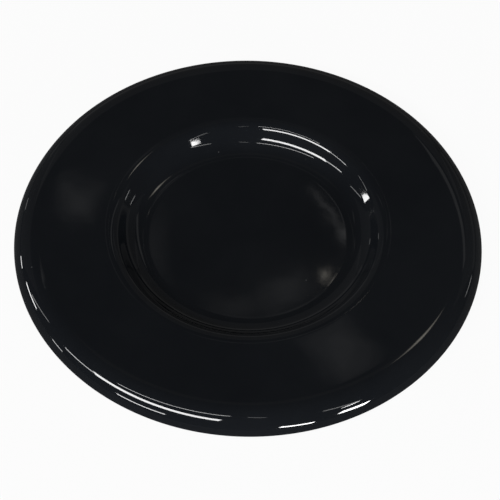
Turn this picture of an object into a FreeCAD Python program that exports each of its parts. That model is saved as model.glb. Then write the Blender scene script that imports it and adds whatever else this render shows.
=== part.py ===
import FreeCAD, Part
import math
import os

# A gas burner cap: one round lid pressed from steel sheet and enamelled.
# It has a rolled-down rim, a flat ring and a shallow dish with a flat floor.
# Lengths are in millimetres and angles in degrees. Radii are those of the upper face, the one in view.
# The axis is Z, and the underside of the dish stands on Z = 0.

# Sheet with its enamel. Its cut edge slopes out to the outer corner, which is broken
sheet_thickness = 1.4
edge_break = 0.35

# Rim, turned down until it leans outwards from upright by the draft that the press needs
cap_diameter = 100.0
rim_radius = 5.2
rim_draft = 14.0

# Dish, with a rounded lip, a straight wall that slopes down from level, and a rounded foot
dish_mouth_diameter = 59.4
lip_radius = 2.8
wall_angle = 50.0
wall_length = 1.8
foot_radius = 5.2

# Headings of the walk across the section, turning to the left from straight outwards
UP = 90.0
INWARDS = 180.0


class SheetSection:
    """Half of the cap's section, walked along the upper face from the rim's cut edge to the axis.

    Each step adds an edge to the upper face and its partner on the lower face, one sheet thickness
    to the left, so the sheet is equally thick on every flat and round every bend.
    """

    def __init__(self, radius, height, heading):
        self.radius = radius
        self.height = height
        self.heading = heading
        self.upper_edges = []
        self.lower_edges = []
        self.cut_edge = [
            self.beside(sheet_thickness),
            self.beside(edge_break, edge_break),
            self.beside(0.0),
        ]

    def beside(self, left, behind=0.0):
        """The point at a distance to the left of the walk, and a distance behind it."""
        ahead = math.radians(self.heading)
        radius = self.radius - behind * math.cos(ahead) - left * math.sin(ahead)
        height = self.height - behind * math.sin(ahead) + left * math.cos(ahead)
        return FreeCAD.Vector(radius, 0, height)

    def across_sheet(self):
        """The point of the upper face that the walk has reached, and the one under it on the lower face."""
        return self.beside(0.0), self.beside(sheet_thickness)

    def straight(self, length):
        """A flat stretch of sheet."""
        before = self.across_sheet()
        self.radius += length * math.cos(math.radians(self.heading))
        self.height += length * math.sin(math.radians(self.heading))
        after = self.across_sheet()
        self.upper_edges.append(Part.LineSegment(before[0], after[0]).toShape())
        self.lower_edges.append(Part.LineSegment(before[1], after[1]).toShape())

    def bend(self, radius, turn):
        """A bend of the sheet: a turn above zero is a crest in the upper face, one below zero a hollow."""
        to_centre = math.copysign(radius, turn)
        before = self.across_sheet()
        self.move_round(to_centre, turn / 2)
        middle = self.across_sheet()
        self.move_round(to_centre, turn / 2)
        after = self.across_sheet()
        self.upper_edges.append(Part.Arc(before[0], middle[0], after[0]).toShape())
        self.lower_edges.append(Part.Arc(before[1], middle[1], after[1]).toShape())

    def move_round(self, to_centre, turn):
        """Moves the walk round the centre that lies the given distance to its left."""
        centre = self.beside(to_centre)
        self.heading += turn
        ahead = math.radians(self.heading)
        self.radius = centre.x + to_centre * math.sin(ahead)
        self.height = centre.z - to_centre * math.cos(ahead)

    def face(self):
        """The section as a face, closed by the cut edge and the axis, with its lowest point at zero."""
        upper_end, lower_end = self.across_sheet()
        axis_edge = Part.LineSegment(upper_end, lower_end).toShape()
        cut_edges = Part.makePolygon(self.cut_edge).Edges
        edges = cut_edges + self.upper_edges + [axis_edge] + self.lower_edges
        section = Part.Face(Part.Wire(Part.__sortEdges__(edges)))
        lowest = min(corner.z for corner in self.cut_edge + [lower_end])
        section.translate(FreeCAD.Vector(0, 0, -lowest))
        return section


def cap_section():
    """The cap's section from the rim's cut edge, up over the ring and down to the middle of the dish."""
    section = SheetSection(cap_diameter / 2, 0.0, UP + rim_draft)
    section.bend(rim_radius, INWARDS - UP - rim_draft)
    section.straight(section.radius - dish_mouth_diameter / 2)
    section.bend(lip_radius, wall_angle)
    section.straight(wall_length)
    section.bend(foot_radius, -wall_angle)
    section.straight(section.radius)
    return section.face()


def burner_cap():
    """The whole cap: its section turned about the axis."""
    axis_point = FreeCAD.Vector(0, 0, 0)
    axis = FreeCAD.Vector(0, 0, 1)
    return cap_section().revolve(axis_point, axis, 360)


os.makedirs("parts", exist_ok=True)
cap = burner_cap()
cap.exportStep("parts/burner_cap.step")
print("burner cap:", cap.ShapeType, "valid", cap.isValid(), "volume", round(cap.Volume, 1))
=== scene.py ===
import math
import bpy
import numpy as np
from mathutils import Matrix, Vector


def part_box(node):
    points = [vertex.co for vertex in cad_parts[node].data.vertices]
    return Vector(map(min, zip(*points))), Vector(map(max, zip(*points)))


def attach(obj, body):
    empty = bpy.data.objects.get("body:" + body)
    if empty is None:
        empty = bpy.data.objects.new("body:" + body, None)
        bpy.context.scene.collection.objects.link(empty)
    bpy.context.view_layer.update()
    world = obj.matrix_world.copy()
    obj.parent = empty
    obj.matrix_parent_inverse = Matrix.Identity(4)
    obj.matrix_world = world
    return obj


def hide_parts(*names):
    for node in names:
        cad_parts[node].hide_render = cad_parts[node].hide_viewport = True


# The looks of a gas burner cap: one round lid pressed from steel sheet, in gloss black enamel.
# Lengths are in metres. The axis is Z, and the underside of the dish stands on Z = 0.

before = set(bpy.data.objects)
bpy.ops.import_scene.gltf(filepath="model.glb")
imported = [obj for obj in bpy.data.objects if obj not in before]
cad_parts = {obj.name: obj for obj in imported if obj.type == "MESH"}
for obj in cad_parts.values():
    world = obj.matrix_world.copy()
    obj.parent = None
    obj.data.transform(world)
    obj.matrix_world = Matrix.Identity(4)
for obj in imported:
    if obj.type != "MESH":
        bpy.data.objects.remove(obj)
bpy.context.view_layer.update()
cap_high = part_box("burner_cap")[1]
MM = 0.001

# The pressed sheet, with radii on the upper face
cap_radius = cap_high.x
ring_height = cap_high.z
sheet_thickness = 1.4 * MM
rim_radius = 5.2 * MM
rim_draft = math.radians(14.0)
edge_break = 0.35 * MM
dish_mouth_radius = 29.7 * MM
lip_radius = 2.8 * MM
wall_angle = math.radians(50.0)
wall_length = 1.8 * MM
foot_radius = 5.2 * MM

# Lengths over which flats run softly into bends, and over which the cut edge's inner corner is rounded
edge_ease = 0.4 * MM
ring_ease = 2.2 * MM
wall_ease = 0.4 * MM
floor_ease = 3.2 * MM
corner_ease = 0.09 * MM

# Waves that the press left in the sheet: the height of one at the rim, how much higher the broad buckle is
# than the ripple, and the share of the radius that has none
press_wave = 0.012 * MM
buckle_to_ripple = 1.6
floor_share = 0.48

# How finely the mesh follows the sheet. Rings are close on bends, and over a share of each ease on flats.
# Stations that agree to so many decimals of a metre are one
steps_around = 384
bend_step = 0.22 * MM
flat_step = 1.6 * MM
close_share = 0.6
edge_steps = 5
station_digits = 9

# In how many samples the bends are averaged, and the face is walked
turn_samples = 20001
walk_samples = 40001

# The enamel's colours, and the sizes of what shows in its glaze and on its skin
enamel_dark = (0.0055, 0.0065, 0.0084, 1.0)
enamel_light = (0.0073, 0.0085, 0.0104, 1.0)
enamel_cloud = (0.0100, 0.0114, 0.0136, 1.0)
dust_level = 0.16
cloud_size = 30 * MM
mottle_size = 5 * MM
dust_spacing = 4.5 * MM
dust_patch_size = 9 * MM
peel_size = 1.6 * MM
flow_size = 9 * MM
skin_depth = 0.014 * MM
glass_index = 1.52

# Noise levels between which clouds and dusty patches set in, and a speck's edge in shares of the spacing
cloud_onset = (0.4, 0.7)
dust_patch_onset = (0.57, 0.59)
speck_edge = (0.018, 0.035)

# How much clouds and dust show, how much of the skin is orange peel, and what makes it rough
cloud_strength = 0.4
dust_strength = 0.5
peel_share = 0.06
clear_roughness = 0.034
cloud_roughness = 0.014
mottle_roughness = 0.006
dust_roughness = 0.4

# The camera, aimed at a point of the ring's plane just in front of the cap's axis.
# The lens and the sensor are in millimetres, as Blender has them
camera_distance = 400 * MM
camera_elevation = math.radians(52.3)
camera_roll = math.radians(1.19)
camera_lens = 135.44
camera_sensor = 36.0
camera_clip = 10 * MM
aim_right = 0.44 * MM
aim_forward = 6.75 * MM

# How far off the lamps stand, in how many strips a soft lamp fades, and the colours of the lamps
lamp_distance = 1.5
glow_layers = 3
white_light = (1.0, 1.0, 1.0)
beige_light = (1.0, 0.94, 0.82)

# The table: its half width, how pale its board is as lit and as mirrored, and how much white is over that
table_half = 6.0
board_level = 0.6
mirrored_board_level = 0.08
white_share = 0.95
mirrored_white_share = 0.02

# How bright the room is for the cap, and for the camera
room_level = 0.03
background_level = 0.96


# The section of the sheet

def midpoints(values):
    """The mean of each value and the next."""
    return (values[1:] + values[:-1]) / 2


def running_sum(amounts):
    """The sum of the amounts so far, from nothing to all of them."""
    return np.concatenate([[0.0], np.cumsum(amounts)])


def upper_face_turns():
    """Where the upper face's bends start and end along the sheet, from the rim's edge to the axis.

    Gives lengths along the face, the headings there, from straight outwards, and the eases there.
    """
    up = math.pi / 2
    inwards = math.pi
    ring_width = cap_radius - rim_radius * math.cos(rim_draft) - dish_mouth_radius
    bends = (lip_radius + foot_radius) * math.sin(wall_angle)
    floor_radius = dish_mouth_radius - bends - wall_length * math.cos(wall_angle)
    legs = [
        (rim_radius * (inwards - up - rim_draft), inwards, ring_ease),
        (ring_width, inwards, ring_ease),
        (lip_radius * wall_angle, inwards + wall_angle, wall_ease),
        (wall_length, inwards + wall_angle, wall_ease),
        (foot_radius * wall_angle, inwards, floor_ease),
        (floor_radius, inwards, floor_ease),
    ]
    lengths = [0.0]
    headings = [up + rim_draft]
    eases = [edge_ease]
    for length, heading, ease in legs:
        lengths.append(lengths[-1] + length)
        headings.append(heading)
        eases.append(ease)
    return np.array(lengths), np.array(headings), np.array(eases)


def eased_heading(at, lengths, headings, eases):
    """The face's heading at each length, averaged over the ease so that bends run softly into flats."""
    fine = np.linspace(-floor_ease, lengths[-1] + floor_ease, turn_samples)
    turned = np.interp(fine, lengths, headings)
    step = fine[1] - fine[0]
    summed = running_sum(midpoints(turned) * step)
    ease = np.interp(at, lengths, eases)
    before = np.interp(at - ease / 2, fine, summed)
    after = np.interp(at + ease / 2, fine, summed)
    return (after - before) / ease


def face_stations(lengths, headings, eases):
    """Lengths along the upper face at which the mesh has a ring of points, closer on bends than on flats."""
    stations = []
    for leg in range(len(lengths) - 1):
        start, end = lengths[leg:leg + 2]
        flat = headings[leg] == headings[leg + 1]
        count = max(2, round((end - start) / (flat_step if flat else bend_step)))
        stations.extend(np.linspace(start, end, count, endpoint=False))
        if flat:
            stations.extend(np.arange(start, start + close_share * eases[leg], bend_step))
            stations.extend(np.arange(end, end - close_share * eases[leg + 1], -bend_step))
    stations.append(lengths[-1])
    return np.unique(np.round(stations, station_digits))


def upper_face(stations, lengths, headings, eases):
    """The upper face as radii and heights at the stations: it ends on the axis, one sheet above zero."""
    fine = np.linspace(0.0, lengths[-1], walk_samples)
    heading = midpoints(eased_heading(fine, lengths, headings, eases))
    step = fine[1] - fine[0]
    radius = running_sum(np.cos(heading) * step)
    height = running_sum(np.sin(heading) * step)
    below_ring = height.max() - height
    in_dish = fine > (lengths[1] + lengths[2]) / 2
    below_ring[in_dish] *= (ring_height - sheet_thickness) / below_ring[-1]
    face_radius = np.interp(stations, fine, radius - radius[-1])
    face_height = np.interp(stations, fine, ring_height - below_ring)
    return face_radius, face_height


def cut_edge(lower_end, upper_start, heading):
    """The rim's cut edge, as radii and heights, from the end of the lower face to the start of the upper.

    It slopes down to the broken outer corner, and the enamel rounds both corners.
    """
    along = np.array([math.cos(heading), math.sin(heading)])
    inwards = np.array([-math.sin(heading), math.cos(heading)])
    slope = math.atan2(edge_break, sheet_thickness - edge_break)
    square_to_slope = math.pi - slope
    square_to_face = 1.5 * math.pi
    slants = heading + np.linspace(square_to_slope, square_to_face, edge_steps + 1)[:-1]
    outer_corner = upper_start + edge_break * (inwards + np.column_stack([np.cos(slants), np.sin(slants)]))
    across = outer_corner[0] - lower_end
    down = across / np.linalg.norm(across)
    share = np.linspace(0.0, 1.0, edge_steps)[:, np.newaxis]
    inner_corner = lower_end + corner_ease * ((1 - share) ** 2 * along + share ** 2 * down)
    return np.concatenate([inner_corner, outer_corner]).T


def cap_outline():
    """The closed half section, as radii and heights, from the axis under the dish round the rim
    to the axis in the dish."""
    lengths, headings, eases = upper_face_turns()
    stations = face_stations(lengths, headings, eases)
    heading = eased_heading(stations, lengths, headings, eases)
    upper_radius, upper_height = upper_face(stations, lengths, headings, eases)
    lower_radius = upper_radius - sheet_thickness * np.sin(heading)
    lower_height = upper_height + sheet_thickness * np.cos(heading)

    # The cut edge's rounded inner corner takes the place of the lower face's last point
    upper_start = np.array([upper_radius[0], upper_height[0]])
    lower_end = np.array([lower_radius[0], lower_height[0]])
    edge_radius, edge_height = cut_edge(lower_end, upper_start, heading[0])
    radii = np.concatenate([lower_radius[:0:-1], edge_radius, upper_radius])
    heights = np.concatenate([lower_height[:0:-1], edge_height, upper_height])
    return radii, heights


def press_unevenness(radii, angle):
    """How far the sheet lies above true at each radius, along one ray from the axis. The floor is true."""
    share = np.clip(radii / cap_radius - floor_share, 0.0, None) / (1 - floor_share)

    def wave(crests, height=1.0, start=0.0, twist=0.0):
        """A wave with a number of crests round the cap. A twist carries them round towards the rim."""
        return height * np.sin(crests * angle + twist * share + start)

    buckle = wave(crests=2, start=0.6) + wave(crests=3, height=0.6, start=2.1)
    ripple = wave(crests=5, twist=9.0) + wave(crests=8, height=0.7, start=1.3, twist=-13.0)
    return press_wave * share * share * (buckle_to_ripple * buckle + ripple)


def turned_cap():
    """The cap's mesh: its section turned about the axis, closed at both poles."""
    radii, heights = cap_outline()
    rings = slice(1, len(radii) - 1)
    angles = np.linspace(0.0, 2 * math.pi, steps_around, endpoint=False)
    points = [(0.0, 0.0, heights[0])]
    for angle in angles:
        lift = press_unevenness(radii[rings], angle)
        x = radii[rings] * math.cos(angle)
        y = radii[rings] * math.sin(angle)
        points.extend(zip(x, y, heights[rings] + lift))
    points.append((0.0, 0.0, heights[-1]))

    count = len(radii) - 2
    last = len(points) - 1
    faces = []
    for turn in range(steps_around):
        here = 1 + turn * count
        there = 1 + (turn + 1) % steps_around * count
        faces.append((0, there, here))
        for ring in range(count - 1):
            faces.append((here + ring, there + ring, there + ring + 1, here + ring + 1))
        faces.append((here + count - 1, there + count - 1, last))
    mesh = bpy.data.meshes.new("enamelled_cap")
    mesh.from_pydata(points, [], faces)
    mesh.shade_smooth()
    return mesh


# Shader maths

class Value:
    """A socket in a material's nodes. Arithmetic on it adds Math nodes."""

    def __init__(self, finish, socket):
        self.finish = finish
        self.socket = socket

    def maths(self, operation, *terms):
        """What a Math node makes of values and numbers."""
        return self.finish.add("ShaderNodeMath", {"operation": operation}, dict(enumerate(terms)))

    def __add__(self, other):
        return self.maths("ADD", self, other)

    def __radd__(self, other):
        return self.maths("ADD", other, self)

    def __rsub__(self, other):
        return self.maths("SUBTRACT", other, self)

    def __mul__(self, other):
        return self.maths("MULTIPLY", self, other)

    def __rmul__(self, other):
        return self.maths("MULTIPLY", other, self)

    def above(self, low, high):
        """A soft step: 0 up to the low value, 1 from the high value on."""
        limits = {"Value": self, "From Min": low, "From Max": high}
        return self.finish.add("ShaderNodeMapRange", {"interpolation_type": "SMOOTHSTEP"}, limits)

    def most(self, other):
        """The greater of two values."""
        return self.maths("MAXIMUM", self, other)


class Finish:
    """A new material or world that is being put together from nodes."""

    # The sockets that a Mix node uses for colours, by number because their names are not unique
    mix_share = 0
    mix_first = 6
    mix_second = 7
    mix_colour = 2

    def __init__(self, holder):
        self.holder = holder
        holder.use_nodes = True
        self.tree = holder.node_tree
        self.tree.nodes.clear()

    def add(self, kind, settings=None, inputs=None, output=0):
        """Adds a node of a kind, sets its settings, then its sockets, and gives one of its outputs."""
        node = self.tree.nodes.new(kind)
        for name, setting in (settings or {}).items():
            setattr(node, name, setting)
        for name, value in (inputs or {}).items():
            if isinstance(value, Value):
                self.tree.links.new(value.socket, node.inputs[name])
            else:
                node.inputs[name].default_value = value
        return Value(self, node.outputs[output])

    def noise(self, place, size, detail):
        """Noise from 0 to 1 whose features are about the given size."""
        inputs = {"Vector": place, "Scale": 1 / size, "Detail": detail}
        return self.add("ShaderNodeTexNoise", None, inputs, "Fac")

    def ray(self, question):
        """1 for the rays of light that the question holds for, and 0 for others."""
        return self.add("ShaderNodeLightPath", output=question)

    def blend(self, share, first, second):
        """A colour between two colours."""
        colours = {self.mix_share: share, self.mix_first: first, self.mix_second: second}
        return self.add("ShaderNodeMix", {"data_type": "RGBA"}, colours, self.mix_colour)

    def mix(self, share, first, second):
        """A surface between two surfaces."""
        return self.add("ShaderNodeMixShader", None, {0: share, 1: first, 2: second})

    def show(self, surface, end_kind="ShaderNodeOutputMaterial"):
        """Puts the surface on the material or world, and gives that."""
        end = self.tree.nodes.new(end_kind)
        self.tree.links.new(surface.socket, end.inputs["Surface"])
        return self.holder


def grey(level):
    """A colour without a hue."""
    return (level, level, level, 1.0)


# Finishes

def black_enamel():
    """Gloss black glass enamel: faint clouds in the glaze, a soft flow to its skin and a little dust."""
    finish = Finish(bpy.data.materials.new("black_enamel"))
    place = finish.add("ShaderNodeTexCoord", output="Object")

    cloud = finish.noise(place, cloud_size, detail=3.0).above(*cloud_onset)
    mottle = finish.noise(place, mottle_size, detail=4.0)
    ground = finish.blend(mottle, enamel_dark, enamel_light)
    clouded = finish.blend(cloud * cloud_strength, ground, enamel_cloud)

    dust_cells = {"Vector": place, "Scale": 1 / dust_spacing, "Randomness": 1.0}
    dust_reach = finish.add("ShaderNodeTexVoronoi", {"feature": "F1"}, dust_cells, "Distance")
    dust_patch = finish.noise(place, dust_patch_size, detail=1.0).above(*dust_patch_onset)
    dust = (1 - dust_reach.above(*speck_edge)) * dust_patch
    colour = finish.blend(dust * dust_strength, clouded, grey(dust_level))

    glaze_roughness = clear_roughness + cloud_roughness * cloud + mottle_roughness * mottle
    roughness = glaze_roughness + dust_roughness * dust

    peel = finish.noise(place, peel_size, detail=1.0)
    flow = finish.noise(place, flow_size, detail=1.0)
    skin = peel * peel_share + flow
    normal = finish.add("ShaderNodeBump", None, {"Strength": 1.0, "Distance": skin_depth, "Height": skin})
    surface = {
        "Base Color": colour,
        "Roughness": roughness,
        "IOR": glass_index,
        "Normal": normal,
    }
    return finish.show(finish.add("ShaderNodeBsdfPrincipled", None, surface))


def white_floor():
    """Plain white board. The camera sees most of it at full white, and the rest as it is lit.

    The enamel mirrors a dimmer board, so that the rim stays dark down to its edge.
    """
    finish = Finish(bpy.data.materials.new("white_floor"))
    seen = finish.ray("Is Camera Ray")
    mirrored = finish.ray("Is Glossy Ray")
    through = finish.ray("Is Transmission Ray")
    shade = finish.blend(mirrored, grey(board_level), grey(mirrored_board_level))
    board = finish.add("ShaderNodeBsdfDiffuse", None, {"Color": shade})
    white = finish.add("ShaderNodeEmission", None, {"Color": grey(1.0), "Strength": 1.0})
    share = (white_share * seen.most(through)).most(mirrored_white_share * mirrored)
    return finish.show(finish.mix(share, board, white))


# The cap

def enamelled_cap():
    """The cap as it looks, in place of the plain solid."""
    cap = bpy.data.objects.new("enamelled_cap", turned_cap())
    bpy.context.scene.collection.objects.link(cap)
    cap.data.materials.append(black_enamel())
    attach(cap, "root")
    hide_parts("burner_cap")


# The studio

def seen_at(azimuth, elevation):
    """A point of the room as the cap sees it, in degrees: right of the camera's side, and above level."""
    turn = math.radians(azimuth)
    rise = math.radians(elevation)
    level = lamp_distance * math.cos(rise)
    return Vector((level * math.sin(turn), -level * math.cos(turn), lamp_distance * math.sin(rise)))


def strip_lamp(name, start, end, width, brightness, colour=white_light):
    """A flat lamp from one direction to another, as wide as the cap sees it, turned to face the cap.

    Directions and width are in degrees. Brightness is that of its face, on a scale where 1 looks white.
    """
    first = seen_at(*start)
    run = seen_at(*end) - first
    along = run.normalized()
    away = (first - along * first.dot(along)).normalized()
    lamp = bpy.data.lights.new(name, "AREA")
    lamp.shape = "RECTANGLE"
    lamp.size = run.length
    lamp.size_y = 2 * lamp_distance * math.tan(math.radians(width / 2))
    lamp.energy = brightness * math.pi * lamp.size * lamp.size_y
    lamp.color = colour
    holder = bpy.data.objects.new(name, lamp)
    turned = Matrix((along, away.cross(along), away)).transposed()
    holder.matrix_world = Matrix.Translation(first + run / 2) @ turned.to_4x4()
    bpy.context.scene.collection.objects.link(holder)


def soft_lamp(name, start, end, width, brightness, colour=white_light):
    """A lamp that fades towards its edge: strips one inside the other."""
    for layer in range(glow_layers):
        share = 1 - layer / glow_layers
        near = [(1 + share) / 2 * one + (1 - share) / 2 * other for one, other in zip(start, end)]
        far = [(1 - share) / 2 * one + (1 + share) / 2 * other for one, other in zip(start, end)]
        strip_lamp(f"{name}_{layer}", near, far, width * share, brightness / glow_layers, colour)


def studio_lamps():
    """The lamps round the table, placed where the cap's bends mirror them."""
    strip_lamp("window", (-10.5, 39.5), (-66, 30.5), 7, 20.5)
    strip_lamp("window_end", (-66, 30), (-80, 23), 2.5, 12)
    strip_lamp("window_top", (-8, 61), (-63, 49), 1.4, 13)
    strip_lamp("window_sill", (-31, 14.5), (-51, 11), 3, 18)
    strip_lamp("right_lamp", (37.5, 13), (48.5, 7.5), 6, 50)
    strip_lamp("right_low", (13.5, 9), (26.5, 5), 4, 40)
    strip_lamp("right_edge", (35, 41.7), (48.5, 29), 1.2, 6.5)
    soft_lamp("right_corner", (40.2, 29), (47.6, 27.9), 1.3, 76)
    strip_lamp("right_top", (2, 59.5), (11, 56.5), 1.2, 3)
    strip_lamp("left_lamp", (-97, 10.5), (-107, 8), 3, 18)
    strip_lamp("left_edge", (-95, 30), (-103, 15), 1.5, 4)
    strip_lamp("left_low", (-77.5, 2.2), (-83.5, 1.8), 2, 12)
    strip_lamp("left_far", (-112, 2.5), (-116, 2.5), 2.5, 14)
    strip_lamp("left_back", (-130.5, 4.5), (-133.5, 3.5), 3, 1.2)
    strip_lamp("right_mark", (105, 12), (112, 8), 1.5, 3)
    strip_lamp("right_back", (132, 43), (168.5, 47.5), 3, 0.22)


def dim_panels():
    """Dim panels behind the cap, which its flats and the starts of its bends mirror as faint glows."""
    strip_lamp("ceiling", (150, 62), (210, 62), 6, 0.03, beige_light)
    strip_lamp("back_wall", (150, 20), (210, 20), 40, 0.05)
    strip_lamp("skirting", (165, 8), (215, 8), 10, 0.065)
    strip_lamp("skirting_right", (115, 8), (165, 8), 10, 0.04)
    strip_lamp("right_wall", (112, 22), (150, 22), 36, 0.035)
    strip_lamp("left_wall", (210, 22), (248, 22), 36, 0.035)
    soft_lamp("beige_panel", (152, 61.9), (141, 57.9), 5, 2.9, beige_light)
    soft_lamp("glow_near", (175.4, 56), (171.2, 58), 2.2, 0.2)
    soft_lamp("glow_floor", (179, 55.2), (175.7, 54.2), 1.3, 0.2)
    soft_lamp("glow_floor_left", (183, 55.6), (178.5, 55.3), 1.2, 0.12)
    soft_lamp("glow_floor_edge", (186.3, 51.4), (186, 54.6), 1.4, 0.09)
    soft_lamp("glow_left", (191.8, 50.9), (189.1, 51.4), 1.7, 0.2)
    soft_lamp("glow_right", (176.5, 50.7), (173.8, 52.25), 0.14, 0.8)
    soft_lamp("glow_right_end", (174.2, 52.15), (173.5, 52.7), 0.3, 0.9)
    soft_lamp("glow_back", (212, 54), (197, 53.3), 1, 0.25)
    strip_lamp("glow_spot", (175, 54.05), (174.6, 54), 0.3, 3.6, beige_light)


def dim_room():
    """The rest of the room: dim and even, and white where the camera looks past the floor."""
    finish = Finish(bpy.data.worlds.new("dim_room"))
    dim = finish.add("ShaderNodeBackground", None, {"Color": grey(1.0), "Strength": room_level})
    white = finish.add("ShaderNodeBackground", None, {"Color": grey(1.0), "Strength": background_level})
    seen = finish.ray("Is Camera Ray")
    through = finish.ray("Is Transmission Ray")
    room = finish.mix(seen.most(through), dim, white)
    bpy.context.scene.world = finish.show(room, "ShaderNodeOutputWorld")


def table_top():
    """The floor that the cap stands on."""
    corners = [
        (-table_half, -table_half, 0.0),
        (table_half, -table_half, 0.0),
        (table_half, table_half, 0.0),
        (-table_half, table_half, 0.0),
    ]
    mesh = bpy.data.meshes.new("table_top")
    mesh.from_pydata(corners, [], [(0, 1, 2, 3)])
    mesh.materials.append(white_floor())
    table = bpy.data.objects.new("table_top", mesh)
    bpy.context.scene.collection.objects.link(table)


def photo_camera():
    """The camera, rolled a little so that the cap leans as it does in the picture."""
    lens = bpy.data.cameras.new("photo_camera")
    lens.lens = camera_lens
    lens.sensor_width = camera_sensor
    lens.clip_start = camera_clip
    camera = bpy.data.objects.new("photo_camera", lens)
    ring_middle = Vector((0.0, 0.0, ring_height))
    back = Vector((0.0, -math.cos(camera_elevation), math.sin(camera_elevation)))
    place = ring_middle + camera_distance * back
    aim = ring_middle + Vector((aim_right, -aim_forward, 0.0))
    level = (aim - place).to_track_quat("-Z", "Y").to_matrix()
    turned = level @ Matrix.Rotation(camera_roll, 3, "Z")
    camera.matrix_world = Matrix.Translation(place) @ turned.to_4x4()
    bpy.context.scene.collection.objects.link(camera)
    bpy.context.scene.camera = camera


bpy.context.scene.view_settings.view_transform = "Standard"
enamelled_cap()
table_top()
studio_lamps()
dim_panels()
dim_room()
photo_camera()
